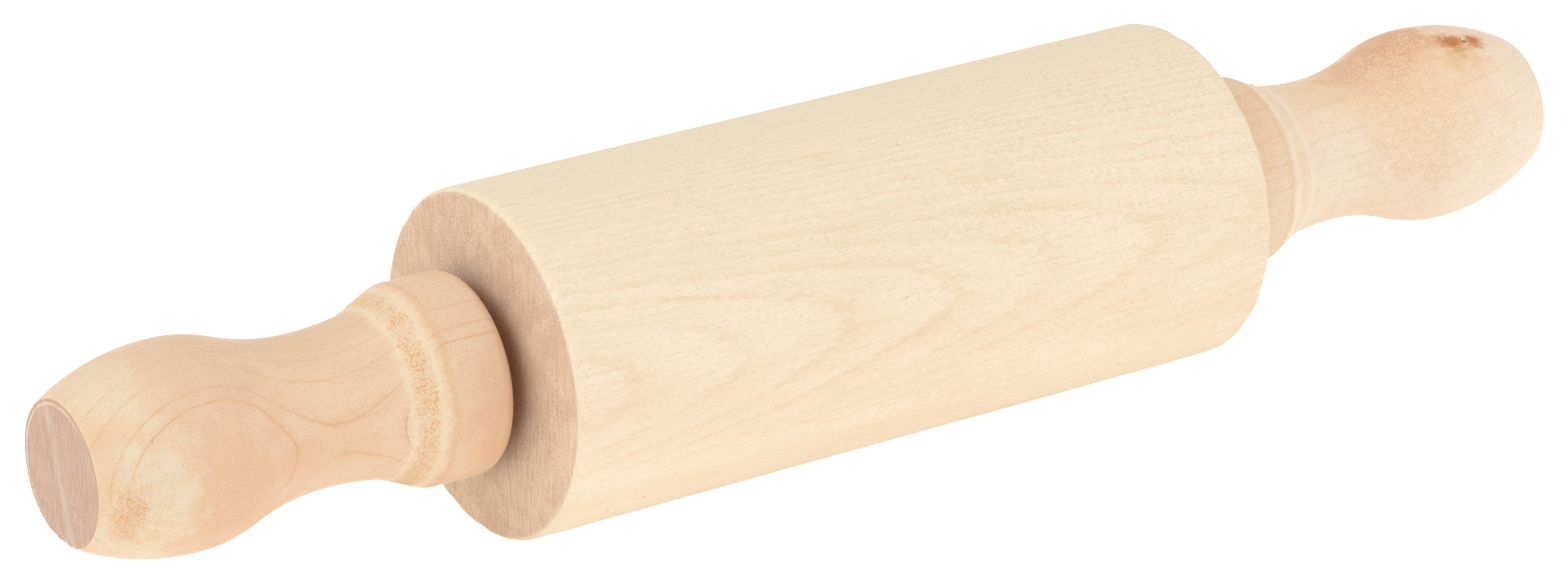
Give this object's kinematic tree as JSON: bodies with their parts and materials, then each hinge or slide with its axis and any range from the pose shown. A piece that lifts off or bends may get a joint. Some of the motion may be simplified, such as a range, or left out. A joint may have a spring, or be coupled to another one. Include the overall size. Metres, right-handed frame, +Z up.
{
  "type": "rolling pin",
  "caption": "Turned wooden rolling pin: a short barrel spins on a hidden axle that joins its bulb-ended handles.",
  "frame": {"origin": "middle of the barrel, on the axis of the axle; also the centre of the whole part's box", "axes": "+X along the rolling axis from the left handle to the right handle, +Z up from the table, +Y away from the viewer"},
  "size_m": [0.25, 0.05, 0.05],
  "materials": {
    "barrel_wood": "sanded, unfinished",
    "axle_wood": "sanded, unfinished",
    "handle_wood": "sanded, unfinished"
  },
  "bodies": {
    "barrel": {"barrel": "barrel_wood"},
    "handles": {"axle": "axle_wood", "left_handle": "handle_wood", "right_handle": "handle_wood"}
  },
  "joints": [
    {"name": "barrel_spin", "type": "hinge", "parent": "barrel", "child": "handles", "pos_m": [0, 0, 0], "axis": [1, 0, 0], "continuous": true}
  ]
}
